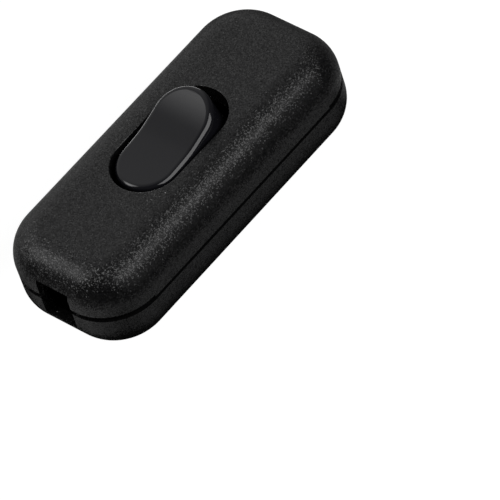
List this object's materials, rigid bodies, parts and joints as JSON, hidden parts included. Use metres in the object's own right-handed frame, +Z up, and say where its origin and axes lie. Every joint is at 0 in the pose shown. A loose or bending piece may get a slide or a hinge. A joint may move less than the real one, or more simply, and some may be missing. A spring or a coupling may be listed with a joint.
{
  "type": "inline cord switch",
  "caption": "Inline cord switch: oblong two-shell housing with a cord slot at each end and a glossy rocker in its top, working a double-pole mechanism.",
  "frame": {"origin": "middle of the flat underside of the housing", "axes": "+X along the cord towards the raised end of the rocker, +Y across the cord, +Z up out of the cover"},
  "size_m": [0.075, 0.0322, 0.0249],
  "materials": {
    "housing_black": "fine spark-eroded grain",
    "rocker_black": "polished",
    "nylon_white": "satin",
    "nylon_black": "satin",
    "spring_steel": "drawn wire",
    "zinc_steel": "zinc plated",
    "brass": "stamped",
    "silver": "contact silver"
  },
  "bodies": {
    "housing": {"upper_shell": "housing_black", "lower_shell": "housing_black", "fulcrum_terminal_left": "brass", "contact_terminal_left": "brass", "fixed_contact_left": "silver", "terminal_washer_near_left": "zinc_steel", "terminal_screw_near_left": "zinc_steel", "clamp_screw_near_left": "zinc_steel", "terminal_washer_far_left": "zinc_steel", "terminal_screw_far_left": "zinc_steel", "clamp_screw_far_left": "zinc_steel", "fulcrum_terminal_right": "brass", "contact_terminal_right": "brass", "fixed_contact_right": "silver", "terminal_washer_near_right": "zinc_steel", "terminal_screw_near_right": "zinc_steel", "clamp_screw_near_right": "zinc_steel", "terminal_washer_far_right": "zinc_steel", "terminal_screw_far_right": "zinc_steel", "clamp_screw_far_right": "zinc_steel", "cord_clamp_near": "nylon_black", "housing_screw_near": "zinc_steel", "cord_clamp_far": "nylon_black", "housing_screw_far": "zinc_steel"},
    "rocker": {"rocker": "rocker_black", "plunger_spring_left": "spring_steel", "plunger_spring_right": "spring_steel"},
    "plunger_left": {"plunger_left": "nylon_white"},
    "plunger_right": {"plunger_right": "nylon_white"},
    "blade_left": {"contact_blade_left": "brass", "moving_contact_left": "silver"},
    "blade_right": {"contact_blade_right": "brass", "moving_contact_right": "silver"}
  },
  "joints": [
    {"name": "rocker_tilt", "type": "hinge", "parent": "housing", "child": "rocker", "pos_m": [0, 0, 0.016], "axis": [0, 1, 0], "range_deg": [0, 23.6]},
    {"name": "blade_tilt_left", "type": "hinge", "parent": "housing", "child": "blade_left", "pos_m": [0, 0.004, 0.0086], "axis": [0, 1, 0], "range_deg": [-12, 0]},
    {"name": "plunger_slide_left", "type": "slide", "parent": "rocker", "child": "plunger_left", "axis": [-0.2045, 0, 0.9789], "range_m": [0, 0.001], "stiffness_N_per_m": 300, "springref_m": -0.002, "deforming": ["plunger_spring_left"]},
    {"name": "blade_tilt_right", "type": "hinge", "parent": "housing", "child": "blade_right", "pos_m": [0, -0.004, 0.0086], "axis": [0, 1, 0], "range_deg": [-12, 0]},
    {"name": "plunger_slide_right", "type": "slide", "parent": "rocker", "child": "plunger_right", "axis": [-0.2045, 0, 0.9789], "range_m": [0, 0.001], "stiffness_N_per_m": 300, "springref_m": -0.002, "deforming": ["plunger_spring_right"]}
  ],
  "couplings": [
    {"joint": "blade_tilt_left", "follows": "rocker_tilt", "ratio": -0.50848},
    {"joint": "blade_tilt_right", "follows": "rocker_tilt", "ratio": -0.50848}
  ]
}
